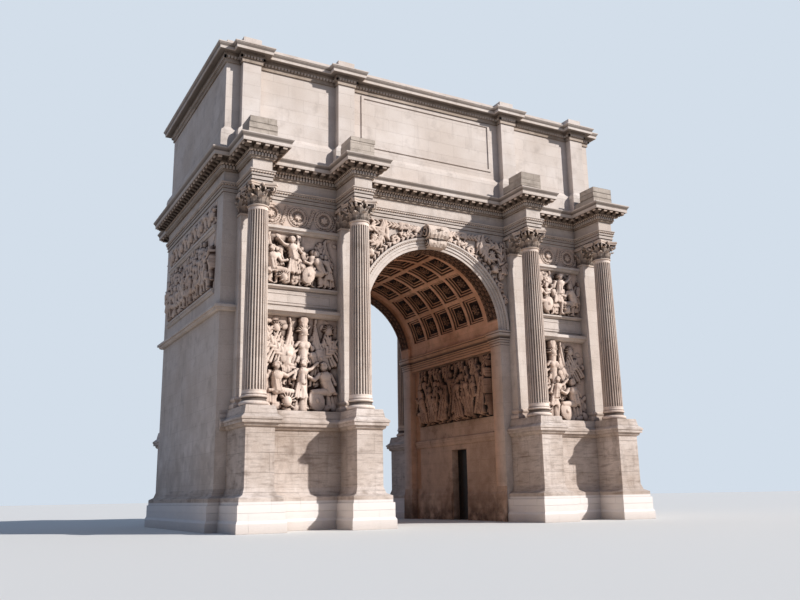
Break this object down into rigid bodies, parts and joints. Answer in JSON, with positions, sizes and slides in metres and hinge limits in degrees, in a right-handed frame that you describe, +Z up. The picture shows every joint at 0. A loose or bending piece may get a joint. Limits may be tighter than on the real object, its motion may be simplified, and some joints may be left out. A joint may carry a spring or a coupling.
{
  "type": "triumphal arch",
  "caption": "Free-standing stone archway with a coffered vault, fluted columns on podiums, a broken-forward entablature, relief panels and a tall attic",
  "frame": {"origin": "on the ground at the middle of the arch's footprint", "axes": "X to the right along the facade, Y through the passage from the front facade to the back one, Z up"},
  "size_m": [18.634, 13.004, 18.06],
  "materials": {
    "limestone": "dressed pale limestone, weathered along its ledges",
    "column_stone": "dressed limestone with grey streaks down the flutes",
    "podium_stone": "dressed limestone, stained brown and grey by rain",
    "carved_stone": "carved limestone, dark in its hollows",
    "relief_stone": "carved limestone relief, weathered and darkened in its depths",
    "passage_stone": "limestone of the shaded passage, brown with age",
    "vault_stone": "coffered limestone vault, warm brown in the shade",
    "rubble_core": "rough masonry of the hidden vault",
    "roof_slabs": "stone roof slabs",
    "door_bronze": "very dark door, dull",
    "iron": "dark wrought hinge iron"
  },
  "bodies": {
    "arch": {"architrave": "limestone", "archivolts": "carved_stone", "attic_base": "limestone", "attic_cornice_bed": "limestone", "attic_corona": "limestone", "attic_end_walls": "limestone", "attic_facade_walls": "limestone", "attic_pilasters": "limestone", "bay_ledges": "limestone", "coffered_lining": "vault_stone", "column_bases": "limestone", "column_capitals": "carved_stone", "column_shafts": "column_stone", "cornice_bed": "limestone", "corona": "limestone", "door_lintel_walls": "passage_stone", "door_pintles": "iron", "doorcases": "passage_stone", "flank_bases": "podium_stone", "flank_ledges": "limestone", "flank_reliefs": "relief_stone", "flank_walls": "limestone", "frieze": "limestone", "imposts": "limestone", "keystones": "carved_stone", "lower_reliefs": "relief_stone", "parapet": "limestone", "passage_bases": "passage_stone", "passage_ledges": "passage_stone", "passage_reliefs": "relief_stone", "passage_walls": "passage_stone", "pier_walls": "limestone", "pilasters": "limestone", "podium_bases": "podium_stone", "podium_caps": "podium_stone", "podium_dies": "podium_stone", "roof": "roof_slabs", "roundel_friezes": "relief_stone", "spandrel_walls": "limestone", "statue_bases": "limestone", "string_courses": "limestone", "upper_reliefs": "relief_stone", "vault": "rubble_core"},
    "right_leaf": {"right_door": "door_bronze"},
    "left_leaf": {"left_door": "door_bronze"}
  },
  "joints": [
    {"name": "right_door_hinge", "type": "hinge", "parent": "arch", "child": "right_leaf", "pos_m": [3.812, 0.34, 0], "axis": [0, 0, 1], "range_deg": [0, 90]},
    {"name": "left_door_hinge", "type": "hinge", "parent": "arch", "child": "left_leaf", "pos_m": [-3.812, 0.34, 0], "axis": [0, 0, -1], "range_deg": [0, 90]}
  ]
}
